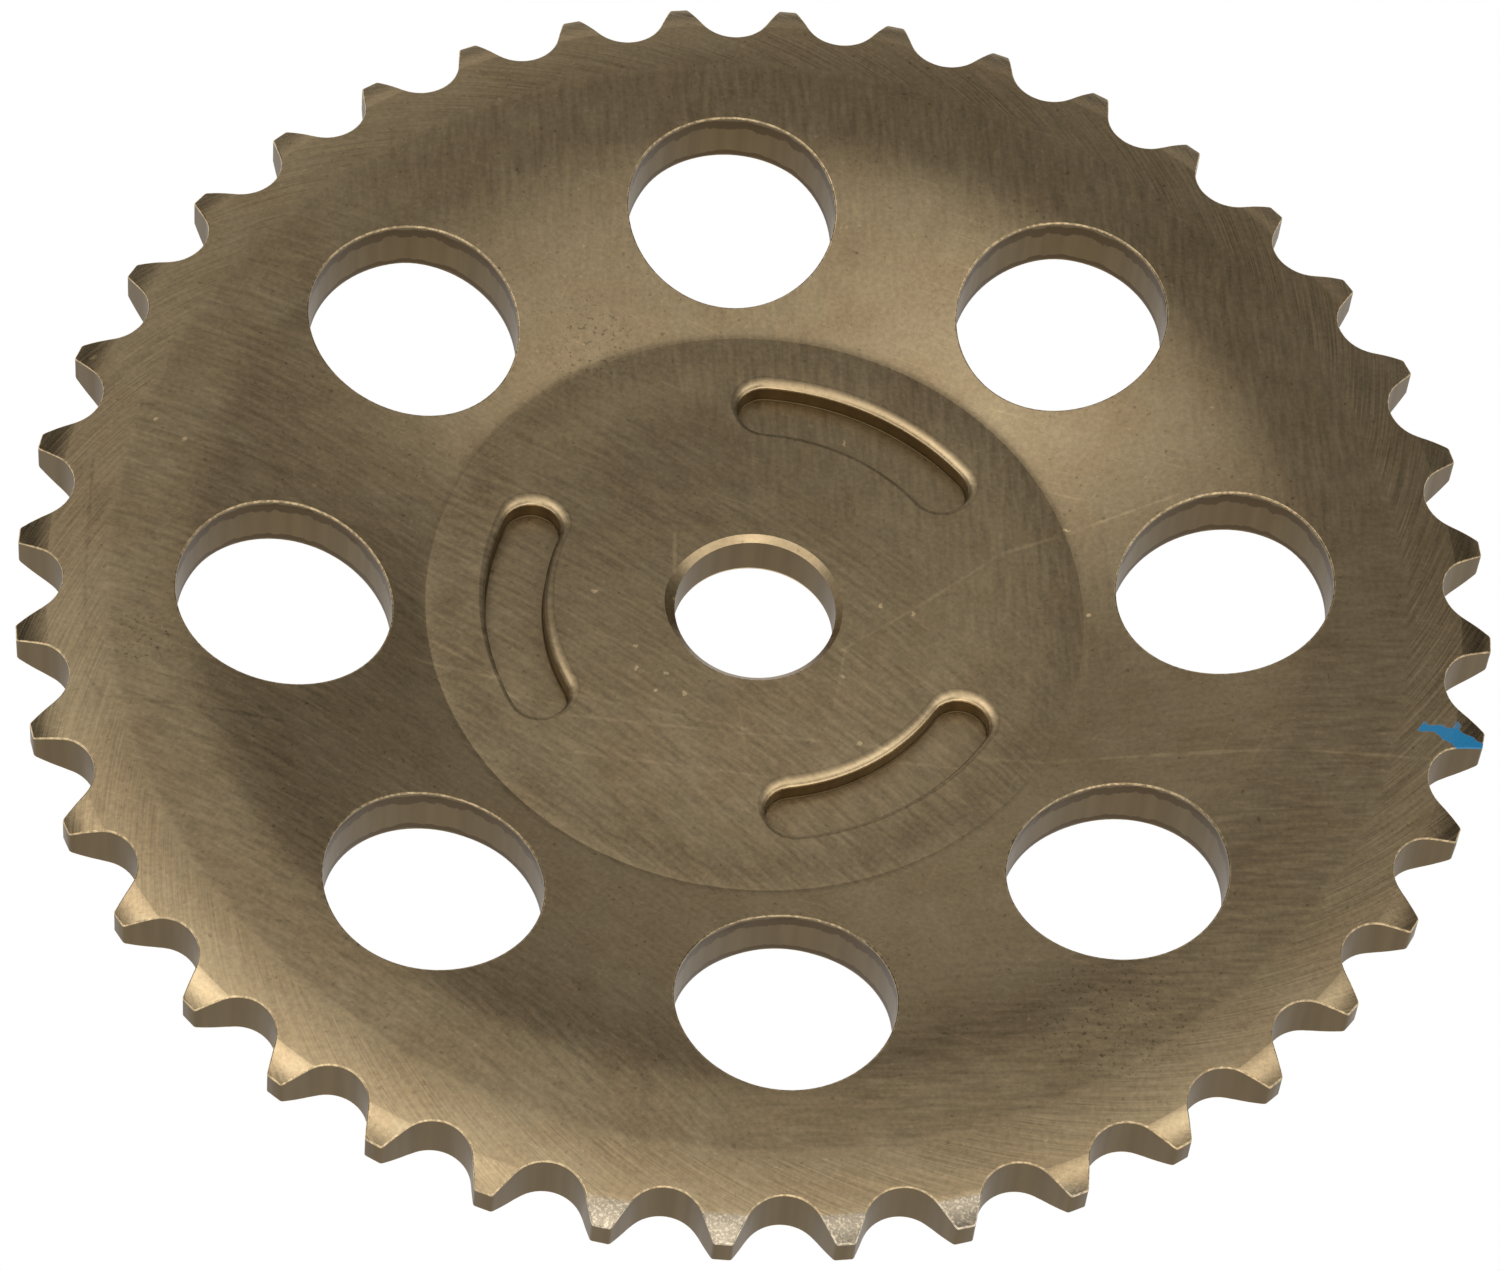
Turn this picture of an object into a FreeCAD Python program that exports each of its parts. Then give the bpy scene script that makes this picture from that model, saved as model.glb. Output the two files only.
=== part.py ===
import FreeCAD, Part
import Sketcher
import math
import os

# Camshaft sprocket for a single 3/8 inch roller chain, one fine-blanked steel piece.
# The origin is on the bore's axis, Z, at the chain line: the middle of the teeth's width.
# The front face, where a conical web leads down to the sunk hub, looks along +Z. The body
# is drawn with its height counted from the hub's back face, and its Placement brings the
# chain line to z = 0.

# Driving sizes, in millimetres, degrees and counts
SIZES = {
    "tooth_count": 40,
    "chain_pitch": 9.525,
    "roller_dia": 6.35,
    "seat_radius": 3.25,
    "seat_angle": 122,
    "flank_radius": 80,
    "tip_dia": 122.9,
    "tip_corner": 0.4,
    "teeth_turn": -1.28,
    "rim_front": 2.8,
    "rim_thick": 5.35,
    "band_dia": 107,
    "band_angle": 5.5,
    "relief_rise": 1.3,
    "relief_radius": 14,
    "tip_width": 2.7,
    "dish_dia": 91.6,
    "web_angle": 12.2,
    "hub_dia": 55.1,
    "hub_thick": 4.75,
    "bore_dia": 13.5,
    "bore_chamfer": 0.5,
    "hole_count": 8,
    "hole_dia": 17.9,
    "hole_circle_dia": 78.6,
    "recess_count": 3,
    "recess_circle_dia": 40.3,
    "recess_width": 4.9,
    "recess_span": 48.4,
    "recess_turn": 60,
    "recess_depth": 2.0,
    "recess_edge": 0.4,
    "lug_height": 2.0,
    "lug_clearance": 0.06,
    "lug_edge": 0.3,
}

# How far a cutting outline runs past the material that it cuts
OVERRUN = 1.0
# How far the tooth corner's arc rises past the tip circle, so that the two cross
CORNER_RISE = 0.03


class Size:
    """A number together with the sheet expression that gives it."""

    def __init__(self, value, text):
        self.value = value
        self.text = text

    def __add__(self, other):
        other = as_size(other)
        return Size(self.value + other.value, f"({self.text} + {other.text})")

    def __sub__(self, other):
        other = as_size(other)
        return Size(self.value - other.value, f"({self.text} - {other.text})")

    def __mul__(self, other):
        other = as_size(other)
        return Size(self.value * other.value, f"({self.text} * {other.text})")

    def __truediv__(self, other):
        other = as_size(other)
        return Size(self.value / other.value, f"({self.text} / {other.text})")


def as_size(number):
    """A plain number as a Size, and a Size as itself."""
    if isinstance(number, Size):
        return number
    return Size(number, str(number))


def sine(angle):
    return Size(math.sin(math.radians(angle.value)), f"sin({angle.text} * 1 deg)")


def cosine(angle):
    return Size(math.cos(math.radians(angle.value)), f"cos({angle.text} * 1 deg)")


def tangent(angle):
    return Size(math.tan(math.radians(angle.value)), f"tan({angle.text} * 1 deg)")


def make_sheet(doc):
    """Write the driving sizes to the sheet and return them by name."""
    sheet = doc.addObject("Spreadsheet::Sheet", "Sizes")
    sizes = {}
    for row, (name, number) in enumerate(SIZES.items(), start=1):
        sheet.set(f"A{row}", name)
        sheet.set(f"B{row}", str(number))
        sheet.setAlias(f"B{row}", name)
        sizes[name] = Size(number, f"Sizes.{name}")
    doc.recompute()
    return sizes


def origin_part(body, role):
    """One of the body's own origin planes or axes."""
    return [part for part in body.Origin.OriginFeatures if part.Role == role][0]


def new_sketch(body, name, plane, height=None, turn=None):
    """A sketch on one of the body's planes, lifted by height and turned by turn."""
    sketch = body.newObject("Sketcher::SketchObject", name)
    sketch.AttachmentSupport = [(origin_part(body, plane), "")]
    sketch.MapMode = "FlatFace"
    lift = FreeCAD.Vector(0, 0, height.value if height else 0)
    rotation = FreeCAD.Rotation(FreeCAD.Vector(0, 0, 1), turn.value if turn else 0)
    sketch.AttachmentOffset = FreeCAD.Placement(lift, rotation)
    if height:
        sketch.setExpression(".AttachmentOffset.Base.z", height.text)
    if turn:
        sketch.setExpression(".AttachmentOffset.Rotation.Angle", f"{turn.text} * 1 deg")
    return sketch


def bind(sketch, kind, *places, size):
    """Add a constraint whose value follows a size."""
    index = sketch.addConstraint(Sketcher.Constraint(kind, *places, size.value))
    sketch.setExpression(f"Constraints[{index}]", size.text)


def pin(sketch, edge, end, x, y):
    """Hold one end of an edge at a point of the sketch."""
    for kind, size, axis in (("DistanceX", x, -2), ("DistanceY", y, -1)):
        if size.value == 0:
            sketch.addConstraint(Sketcher.Constraint("PointOnObject", edge, end, axis))
        else:
            bind(sketch, kind, -1, 1, edge, end, size=size)


def arc_between(start, end, radius, bulge):
    """A circular arc through two points; bulge is 1 where its centre is on the left."""
    chord = end - start
    left = FreeCAD.Vector(-chord.y, chord.x, 0).normalize()
    reach = math.sqrt(max(radius ** 2 - chord.Length ** 2 / 4, 0))
    centre = (start + end) / 2 + left * reach * bulge
    first, last = (start, end) if bulge > 0 else (end, start)
    angles = [math.atan2((p - centre).y, (p - centre).x) for p in (first, last)]
    circle = Part.Circle(centre, FreeCAD.Vector(0, 0, 1), radius)
    return Part.ArcOfCircle(circle, *angles)


def closed_outline(sketch, corners):
    """Draw a closed outline. Each corner is (x, y) or (x, y, radius, bulge), where the
    last two make the edge that leaves it an arc. Every corner and radius is bound."""
    points = [FreeCAD.Vector(corner[0].value, corner[1].value, 0) for corner in corners]
    ends = []
    for index, corner in enumerate(corners):
        start = points[index]
        end = points[(index + 1) % len(points)]
        if len(corner) == 2:
            edge = sketch.addGeometry(Part.LineSegment(start, end), False)
            ends.append((edge, 1, 2))
            continue
        radius, bulge = corner[2:]
        edge = sketch.addGeometry(arc_between(start, end, radius.value, bulge), False)
        ends.append((edge, 1, 2) if bulge > 0 else (edge, 2, 1))
    for index, (edge, first, last) in enumerate(ends):
        following, following_first, _ = ends[(index + 1) % len(ends)]
        link = Sketcher.Constraint("Coincident", edge, last, following, following_first)
        sketch.addConstraint(link)
    for corner, (edge, first, last) in zip(corners, ends):
        pin(sketch, edge, first, corner[0], corner[1])
        if len(corner) == 4:
            bind(sketch, "Radius", edge, size=corner[2])


def add_feature(doc, body, kind, name, profile, **settings):
    """A feature made from a profile; a Size among its settings is bound to the sheet."""
    feature = body.newObject(kind, name)
    feature.Profile = profile
    for key, setting in settings.items():
        if isinstance(setting, Size):
            setattr(feature, key, setting.value)
            feature.setExpression(key, setting.text)
        else:
            setattr(feature, key, setting)
    doc.recompute()
    return feature


def repeat_round(doc, body, name, feature, count):
    """Repeat a feature evenly round the sprocket's axis."""
    pattern = body.newObject("PartDesign::PolarPattern", name)
    pattern.Originals = [feature]
    pattern.Axis = (origin_part(body, "Z_Axis"), [""])
    pattern.Angle = 360
    pattern.Occurrences = count.value
    pattern.setExpression("Occurrences", count.text)
    body.Tip = pattern
    doc.recompute()
    return pattern


def root_radius(sizes):
    """Radius at the bottom of the tooth gaps, for the chain's rollers."""
    half_step = Size(180, "180") / sizes["tooth_count"]
    pitch_dia = sizes["chain_pitch"] / sine(half_step)
    return (pitch_dia - sizes["roller_dia"]) / 2


def rim_height(sizes):
    """Height of the rim's front face above the hub's back face."""
    web_width = (sizes["dish_dia"] - sizes["hub_dia"]) / 2
    return sizes["hub_thick"] + web_width * tangent(sizes["web_angle"])


def add_blank(doc, body, sizes):
    """Turn the blank: flat hub, conical web, flat rim, sloping band and relieved tips."""
    zero = Size(0, "0")
    hub_top = sizes["hub_thick"]
    rim_top = rim_height(sizes)
    rim_back = rim_top - sizes["rim_thick"]
    chain_line = rim_top - sizes["rim_front"]
    bore = sizes["bore_dia"] / 2
    chamfer = sizes["bore_chamfer"]
    hub = sizes["hub_dia"] / 2
    dish = sizes["dish_dia"] / 2
    # The web keeps the rim's thickness, so its back corners lie further out than in front
    dish_back = dish + sizes["rim_thick"] * tangent(sizes["web_angle"] / 2)
    hub_back = dish_back - rim_back / tangent(sizes["web_angle"])
    band = sizes["band_dia"] / 2
    relief = root_radius(sizes) + sizes["relief_rise"]
    band_drop = (relief - band) * tangent(sizes["band_angle"])
    tip = sizes["tip_dia"] / 2
    tip_half = sizes["tip_width"] / 2
    sketch = new_sketch(body, "BlankSection", "XZ_Plane")
    closed_outline(sketch, [
        (bore + chamfer, zero),
        (hub_back, zero),
        (dish_back, rim_back),
        (relief, rim_back, sizes["relief_radius"], 1),
        (tip, chain_line - tip_half),
        (tip, chain_line + tip_half, sizes["relief_radius"], 1),
        (relief, rim_top - band_drop),
        (band, rim_top),
        (dish, rim_top),
        (hub, hub_top),
        (bore + chamfer, hub_top),
        (bore, hub_top - chamfer),
        (bore, chamfer),
    ])
    add_feature(doc, body, "PartDesign::Revolution", "Blank", sketch,
                ReferenceAxis=(sketch, ["V_Axis"]), Angle=360)


def add_teeth(doc, body, sizes):
    """Cut one roller gap with convex flanks and rounded tip corners, then all of them."""
    seat = sizes["seat_radius"]
    half_angle = sizes["seat_angle"] / 2
    flank = sizes["flank_radius"]
    corner = sizes["tip_corner"]
    tip = sizes["tip_dia"] / 2
    seat_centre = root_radius(sizes) + seat
    corner_reach = tip + CORNER_RISE - corner
    # The flank's centre, and from it the corner's centre, where two circles cross
    out_x = -math.cos(math.radians(half_angle.value))
    out_y = math.sin(math.radians(half_angle.value))
    seat_end = FreeCAD.Vector(seat_centre.value + seat.value * out_x, seat.value * out_y, 0)
    flank_centre = seat_end + FreeCAD.Vector(out_x, out_y, 0) * flank.value
    inner = flank.value - corner.value
    reach = corner_reach.value
    across = flank_centre.Length
    along = (across ** 2 + reach ** 2 - inner ** 2) / (2 * across)
    aside = math.sqrt(reach ** 2 - along ** 2)
    to_flank = FreeCAD.Vector(flank_centre).normalize()
    sideways = FreeCAD.Vector(to_flank.y, -to_flank.x, 0)
    corner_centre = to_flank * along + sideways * aside
    flank_end = corner_centre + (corner_centre - flank_centre).normalize() * corner.value
    corner_end = corner_centre + FreeCAD.Vector(corner.value, 0, 0)
    rim = FreeCAD.Vector(tip.value + OVERRUN, corner_end.y, 0)

    def mirrored(point):
        return FreeCAD.Vector(point.x, -point.y, 0)

    sketch = new_sketch(body, "ToothGap", "XY_Plane", turn=sizes["teeth_turn"])
    root = sketch.addGeometry(arc_between(mirrored(seat_end), seat_end, seat.value, -1), False)
    flank_up = sketch.addGeometry(arc_between(seat_end, flank_end, flank.value, 1), False)
    corner_up = sketch.addGeometry(arc_between(flank_end, corner_end, corner.value, 1), False)
    side_up = sketch.addGeometry(Part.LineSegment(corner_end, rim), False)
    outside = sketch.addGeometry(Part.LineSegment(rim, mirrored(rim)), False)
    side_down = sketch.addGeometry(Part.LineSegment(mirrored(rim), mirrored(corner_end)), False)
    corner_down = sketch.addGeometry(
        arc_between(mirrored(corner_end), mirrored(flank_end), corner.value, 1), False)
    flank_down = sketch.addGeometry(
        arc_between(mirrored(flank_end), mirrored(seat_end), flank.value, 1), False)

    # The root arc runs clockwise on the page, so its first end is the upper one
    links = [
        ("Tangent", root, 1, flank_up, 1),
        ("Tangent", flank_up, 2, corner_up, 1),
        ("Coincident", corner_up, 2, side_up, 1),
        ("Coincident", side_up, 2, outside, 1),
        ("Coincident", outside, 2, side_down, 1),
        ("Coincident", side_down, 2, corner_down, 1),
        ("Tangent", corner_down, 2, flank_down, 1),
        ("Tangent", flank_down, 2, root, 2),
        ("PointOnObject", root, 3, -1),
        ("Vertical", root, 1, root, 2),
        ("Equal", flank_up, flank_down),
        ("Equal", corner_up, corner_down),
        ("Vertical", corner_up, 3, corner_down, 3),
        ("Horizontal", corner_up, 3, corner_up, 2),
        ("Horizontal", corner_down, 3, corner_down, 1),
        ("Horizontal", side_up),
        ("Horizontal", side_down),
        ("Vertical", outside),
    ]
    for link in links:
        sketch.addConstraint(Sketcher.Constraint(*link))
    bind(sketch, "DistanceX", -1, 1, root, 3, size=seat_centre)
    bind(sketch, "Radius", root, size=seat)
    bind(sketch, "DistanceY", -1, 1, root, 1, size=seat * sine(half_angle))
    bind(sketch, "Radius", flank_up, size=flank)
    bind(sketch, "Radius", corner_up, size=corner)
    bind(sketch, "Distance", -1, 1, corner_up, 3, size=corner_reach)
    bind(sketch, "DistanceX", -1, 1, outside, 1, size=tip + OVERRUN)
    gap = add_feature(doc, body, "PartDesign::Pocket", "Gap", sketch,
                      Type="ThroughAll", Reversed=True)
    repeat_round(doc, body, "Gaps", gap, sizes["tooth_count"])


def add_holes(doc, body, sizes):
    """Cut one lightening hole through the web, then the whole ring of them."""
    radius = sizes["hole_dia"] / 2
    centre = sizes["hole_circle_dia"] / 2
    sketch = new_sketch(body, "HoleOutline", "XY_Plane")
    circle = Part.Circle(FreeCAD.Vector(centre.value, 0, 0), FreeCAD.Vector(0, 0, 1), radius.value)
    edge = sketch.addGeometry(circle, False)
    pin(sketch, edge, 3, centre, Size(0, "0"))
    bind(sketch, "Radius", edge, size=radius)
    hole = add_feature(doc, body, "PartDesign::Pocket", "Hole", sketch,
                       Type="ThroughAll", Midplane=True)
    repeat_round(doc, body, "Holes", hole, sizes["hole_count"])


def draw_arc_slot(sketch, middle, half_width, half_span):
    """A slot with round ends that follows a circle about the axis."""
    inner = middle - half_width
    outer = middle + half_width
    turn_x = cosine(half_span)
    turn_y = sine(half_span)
    corners = [FreeCAD.Vector(r.value * turn_x.value, s * r.value * turn_y.value, 0)
               for r, s in ((inner, -1), (outer, -1), (outer, 1), (inner, 1))]
    edges = [
        sketch.addGeometry(arc_between(corners[0], corners[1], half_width.value, 1), False),
        sketch.addGeometry(arc_between(corners[1], corners[2], outer.value, 1), False),
        sketch.addGeometry(arc_between(corners[2], corners[3], half_width.value, 1), False),
        sketch.addGeometry(arc_between(corners[3], corners[0], inner.value, -1), False),
    ]
    end_low, far, end_high, near = edges
    links = [
        ("Coincident", end_low, 2, far, 1),
        ("Coincident", far, 2, end_high, 1),
        ("Coincident", end_high, 2, near, 2),
        ("Coincident", near, 1, end_low, 1),
        ("Symmetric", far, 1, far, 2, -1),
        ("Symmetric", near, 1, near, 2, -1),
        ("Vertical", end_low, 3, end_high, 3),
    ]
    for link in links:
        sketch.addConstraint(Sketcher.Constraint(*link))
    pin(sketch, far, 2, outer * turn_x, outer * turn_y)
    pin(sketch, near, 2, inner * turn_x, inner * turn_y)
    bind(sketch, "Radius", far, size=outer)
    bind(sketch, "Radius", near, size=inner)
    bind(sketch, "DistanceX", -1, 1, end_high, 3, size=middle * turn_x)


def bevel_edges(doc, body, name, width, chosen):
    """Bevel the edges that the test picks."""
    base = body.Tip
    names = [f"Edge{index}" for index, edge in enumerate(base.Shape.Edges, start=1)
             if chosen(edge)]
    bevel = body.newObject("PartDesign::Chamfer", name)
    bevel.Base = (base, names)
    bevel.Size = width.value
    bevel.setExpression("Size", width.text)
    body.Tip = bevel
    doc.recompute()


def edges_at(height, low, high):
    """A test for the edges that lie flat at a height, between two radii."""
    def chosen(edge):
        box = edge.BoundBox
        flat = abs(box.ZMin - height) < 1e-4 and abs(box.ZMax - height) < 1e-4
        reach = [math.hypot(p.x, p.y) for p in edge.discretize(9)]
        return flat and min(reach) > low and max(reach) < high
    return chosen


def add_half_shears(doc, body, sizes):
    """Push three arc lugs part way through the hub: recesses in front, lugs behind."""
    middle = sizes["recess_circle_dia"] / 2
    half_width = sizes["recess_width"] / 2
    half_span = sizes["recess_span"] / 2
    lug_half = half_width - sizes["lug_clearance"]
    count = sizes["recess_count"]
    turn = sizes["recess_turn"]

    front = new_sketch(body, "RecessOutline", "XY_Plane", height=sizes["hub_thick"], turn=turn)
    draw_arc_slot(front, middle, half_width, half_span)
    recess = add_feature(doc, body, "PartDesign::Pocket", "Recess", front,
                         Length=sizes["recess_depth"])
    repeat_round(doc, body, "Recesses", recess, count)

    back = new_sketch(body, "LugOutline", "XY_Plane", turn=turn)
    draw_arc_slot(back, middle, lug_half, half_span)
    lug = add_feature(doc, body, "PartDesign::Pad", "Lug", back,
                      Length=sizes["lug_height"], Reversed=True)
    repeat_round(doc, body, "Lugs", lug, count)

    low = middle.value - half_width.value - sizes["lug_clearance"].value
    high = middle.value + half_width.value + sizes["lug_clearance"].value
    bevel_edges(doc, body, "RecessEdges", sizes["recess_edge"],
                edges_at(sizes["hub_thick"].value, low, high))
    bevel_edges(doc, body, "LugEdges", sizes["lug_edge"],
                edges_at(-sizes["lug_height"].value, low, high))


def make_sprocket(doc, sizes):
    """The whole sprocket, one body, placed with its chain line at z = 0."""
    body = doc.addObject("PartDesign::Body", "Sprocket")
    body.Label = "sprocket"
    chain_line = rim_height(sizes) - sizes["rim_front"]
    body.Placement = FreeCAD.Placement(FreeCAD.Vector(0, 0, -chain_line.value), FreeCAD.Rotation())
    body.setExpression(".Placement.Base.z", f"-{chain_line.text}")
    add_blank(doc, body, sizes)
    add_teeth(doc, body, sizes)
    add_holes(doc, body, sizes)
    add_half_shears(doc, body, sizes)
    return body


def check(doc, bodies):
    """Stop if any object failed or any body is empty or not valid."""
    for item in doc.Objects:
        if "Invalid" in item.State or "Error" in item.State:
            raise RuntimeError(f"{item.Name} failed: {item.State}")
    for body in bodies:
        if body.Shape.isNull() or not body.Shape.isValid() or len(body.Shape.Solids) != 1:
            raise RuntimeError(f"{body.Label} is not one valid solid")


def main():
    doc = FreeCAD.newDocument("CamshaftSprocket")
    sizes = make_sheet(doc)
    bodies = [make_sprocket(doc, sizes)]
    doc.recompute()
    check(doc, bodies)
    os.makedirs("parts", exist_ok=True)
    for body in bodies:
        body.Shape.exportStep(f"parts/{body.Label}.step")
        box = body.Shape.BoundBox
        print(f"{body.Label}: volume {body.Shape.Volume:.0f} mm3, size "
              f"{box.XLength:.2f} x {box.YLength:.2f} x {box.ZLength:.2f} mm, "
              f"z {box.ZMin:.2f} to {box.ZMax:.2f}, {len(body.Shape.Faces)} faces")


main()
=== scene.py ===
import math

import bpy
import numpy as np
from mathutils import Matrix, Vector, geometry


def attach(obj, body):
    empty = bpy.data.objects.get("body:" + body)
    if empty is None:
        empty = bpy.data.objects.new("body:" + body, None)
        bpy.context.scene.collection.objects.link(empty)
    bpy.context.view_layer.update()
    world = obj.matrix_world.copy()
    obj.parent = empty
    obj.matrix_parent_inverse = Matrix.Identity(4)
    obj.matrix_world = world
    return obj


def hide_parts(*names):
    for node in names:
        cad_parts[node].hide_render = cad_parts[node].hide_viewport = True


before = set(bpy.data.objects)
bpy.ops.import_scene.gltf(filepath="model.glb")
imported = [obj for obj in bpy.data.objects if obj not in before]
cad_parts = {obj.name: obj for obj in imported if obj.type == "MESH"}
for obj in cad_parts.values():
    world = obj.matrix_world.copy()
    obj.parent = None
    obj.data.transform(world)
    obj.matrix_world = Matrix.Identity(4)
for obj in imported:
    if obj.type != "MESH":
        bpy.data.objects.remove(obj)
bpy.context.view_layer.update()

# Looks of the camshaft sprocket. Lengths are in millimetres until the mesh is made.
# The axis is Z, the chain line is z = 0 and the front face looks along +Z.

RNG = np.random.default_rng(7)

# Teeth: a roller's seat with a flank arc on each side, and small round tip corners
TEETH = 40
STEP = 2 * math.pi / TEETH
PITCH = 9.525
ROLLER = 6.35
ROOT = (PITCH / math.sin(math.pi / TEETH) - ROLLER) / 2
SEAT = 3.25
SEAT_END = math.radians(61)
SEAT_X = ROOT + SEAT
FLANK = 80.0
CORNER = 0.4
CORNER_PAST_TIP = 0.03
TIP = 61.45
TEETH_TURN = math.radians(-1.28)
RELIEF = ROOT + 1.3
TOOTH_EDGE = 0.12

# Dished plate: the radius where the hub ends, the one where the rim starts, one past the
# teeth, and the heights of the hub's front and back
HUB = 27.55
RIM = 48.2
OUTSIDE = 64
HUB_Z = -1.146
BACK_Z = -5.896

# Openings: eight holes, the bore and three arc slots, sunk in front and raised behind
HOLE_RING = 39.3
HOLES = [(HOLE_RING * math.cos(k * math.pi / 4), HOLE_RING * math.sin(k * math.pi / 4))
         for k in range(8)]
HOLE = 8.95
BORE = 6.75
SLOT_MID = 20.15
SLOT_HALF = 2.45
SLOT_SPAN = math.radians(24.2)
SLOT_TURNS = [math.radians(a) for a in (60, 180, 300)]
SLOT_DEPTH = 2.0
FLOOR_Z = HUB_Z - SLOT_DEPTH
LUG_Z = BACK_Z - SLOT_DEPTH
LUG_BREAK = 0.3
# The slots' edges are rolled most, and their painted highlight is brightest, where the wall faces
# against this way
ROLL_WAY = np.array([0.35, 0.94])

# Points round the holes and the bore, and round the rings where the front face bends
HOLE_POINTS = 96
BORE_POINTS = 112
HUB_BENDS = (25.9, 26.7, HUB, 28.1, 28.7)
HUB_POINTS = 150
BAND_BENDS = (53.4, 54.0)
BAND_POINTS = 280
# Room that a face's inner points leave beside the bore, the holes and the bends
BORE_ROOM = 1.4
HOLE_ROOM = 0.75
BEND_ROOM = 0.4
LAST_SPOT = 56.7

# Depths of the rows in each wall. A wall starts about an edge's drop below its face, and its
# roughness ends at a depth of its own.
TOOTH_ROWS = (0.35, 0.9)
HOLE_ROWS = (0.12, 0.26, 0.42, 0.6, 0.85, 1.15, 2.0, 3.4)
BORE_ROWS = (0.3, 2.0)
SLOT_ROWS = (0.3, 0.8)
EDGE_DROP = 0.12
ROUGH_DEPTH = 1.2
# The depth that the material reads on the lugs, which is below the torn band
LUG_SHADE = 2.5

# Each face has the number of its zone, which the material reads
FACE, EDGE, WALL, FLOOR, HOLE_WALL, BORE_WALL = range(6)

# Soft studio lights far off: the way to each, and its strength
LIGHTS = [
    ((-0.45, 0.15, 0.88), 1.64),
    ((-0.30, 0.15, 0.94), 0.90),
    ((-0.45, 0.00, 0.89), 0.61),
    ((-0.15, 0.30, 0.94), 0.73),
    ((0.45, 0.00, 0.89), 2.38),
    ((0.30, 0.28, 0.92), 0.30),
    ((0.00, -0.18, 0.98), 1.10),
    ((-0.15, -0.45, 0.88), 1.90),
    ((0.05, -0.80, 0.60), 1.60),
    ((-0.15, 0.75, 0.64), 0.43),
    ((-0.05, 0.90, 0.43), 0.62),
    ((0.38, 0.80, 0.46), 0.55),
]
LIGHT_FOCUS = 40.0

# Scratches on the front: their points and brightness
SCRATCHES = [
    ([(-29.2, -4.8), (-15.6, -8.5), (-1.2, -12.1)], 0.22),
    ([(-15.6, -14.1), (0.4, -16.8)], 0.20),
    ([(-27.3, -3.0), (-16.0, -10.5), (19.4, -15.4), (54.4, -18.1)], 0.24),
    ([(6.8, -4.5), (13.2, -0.5), (21.2, 5.1), (26.8, 7.0), (36.1, 9.3)], 0.26),
    ([(6.0, -10.1), (7.2, -4.5)], 0.20),
    ([(-6.4, 7.4), (-6.6, 3.4)], 0.30),
    ([(-2.0, -8.5), (-1.6, -14.8)], 0.16),
    ([(-55.0, 12.9), (-55.7, 0.2), (-55.5, -8.5), (-54.3, -10.5), (-39.6, -12.8)], -0.20),
]
# Bright specks on the front
SPECKS = [
    (-13.4, 1.7), (-10.2, -3.9), (-10.3, -6.0), (-7.8, -6.5), (-8.8, -8.2), (-6.4, -8.5),
    (-6.6, 1.1), (8.8, 17.9), (10.5, 0.0), (13.2, -0.9), (7.0, -7.1), (7.9, -13.6),
    (26.8, 7.4), (28.0, -1.2), (-49.7, 16.8), (-47.3, 14.8), (-54.9, 23.8),
]
# Pitted places: centre, half size across and up
PITTED = [(-13.0, 27.0, 6.0, 6.0), (-50.7, -5.2, 4.5, 4.0), (26.0, -42.0, 10.0, 8.0)]
# The middle line of the paint mark
PAINT = [(54.3, -14.9), (56.6, -15.6), (59.0, -16.9)]

# ---------------------------------------------------------------- section

# Radii and slopes of each face, in runs that meet in creases
FRONT = [
    ([0, 24.0, 26.2, 27.0, HUB], [0, 0, -0.012, -0.04, -0.06]),
    ([HUB, 28.1, 28.7, 31, 35, 39, 43, 46, RIM, 50.5, 53.4, 54.0, 55, 57, RELIEF],
     [0.1, 0.24, 0.275, 0.262, 0.245, 0.215, 0.165, 0.085, 0.01, -0.008, -0.02, -0.05,
      -0.06, -0.11, -0.14]),
    ([RELIEF, TIP, OUTSIDE], [-0.22, -0.56, -0.56]),
]
BACK = [
    ([0, 30.2, 31.6, 45.7, 47.0, RELIEF], [0, 0, 0.2162, 0.2162, 0, 0]),
    ([RELIEF, TIP, OUTSIDE], [0.33, 0.58, 0.58]),
]
RADIUS_STEP = 0.01


def heights(runs, start, knots):
    """Sum each run's slope to heights; a knot (radius, height) stretches a run to reach it."""
    table = []
    z = start
    for radii, slopes in runs:
        r = np.arange(radii[0], radii[-1] + 1e-9, RADIUS_STEP)
        s = np.interp(r, radii, slopes)
        h = z + np.concatenate([[0], np.cumsum((s[1:] + s[:-1]) / 2 * np.diff(r))])
        for radius, height in knots:
            if radii[0] < radius <= radii[-1]:
                reached = np.interp(radius, r, h)
                share = np.clip((r - radii[0]) / (radius - radii[0]), 0, 1)
                h = h + (height - reached) * share
        table.append((r, h, np.gradient(h, r)))
        z = np.interp(min(radii[-1], TIP), r, h)
    return table


FRONT_TABLE = heights(FRONT, HUB_Z, [(RIM, 2.795), (TIP, 1.35)])
BACK_TABLE = heights(BACK, BACK_Z, [(RIM, -2.55), (TIP, -1.35)])


def run_of(table, radius):
    return np.clip(sum((radius > r[0]).astype(int) for r, _, _ in table) - 1, 0, len(table) - 1)


def look_up(table, radius, hint=None, column=1):
    """Height (column 1) or slope (column 2) at a radius; hint picks the side of a crease."""
    radius = np.asarray(radius, float)
    runs = run_of(table, np.asarray(radius if hint is None else hint, float))
    out = np.zeros_like(radius)
    for index, run in enumerate(table):
        out = np.where(runs == index, np.interp(radius, run[0], run[column]), out)
    return out


def face_normals(table, xy, hint, sign):
    """Normals at points of a face; sign 1 is the front and -1 the back."""
    r = np.hypot(xy[:, 0], xy[:, 1])
    slope = look_up(table, r, hint, 2)
    safe = np.maximum(r, 1e-6)
    n = np.stack([-slope * xy[:, 0] / safe, -slope * xy[:, 1] / safe, np.ones(len(r))], 1) * sign
    return n / np.linalg.norm(n, axis=1)[:, None]


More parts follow.
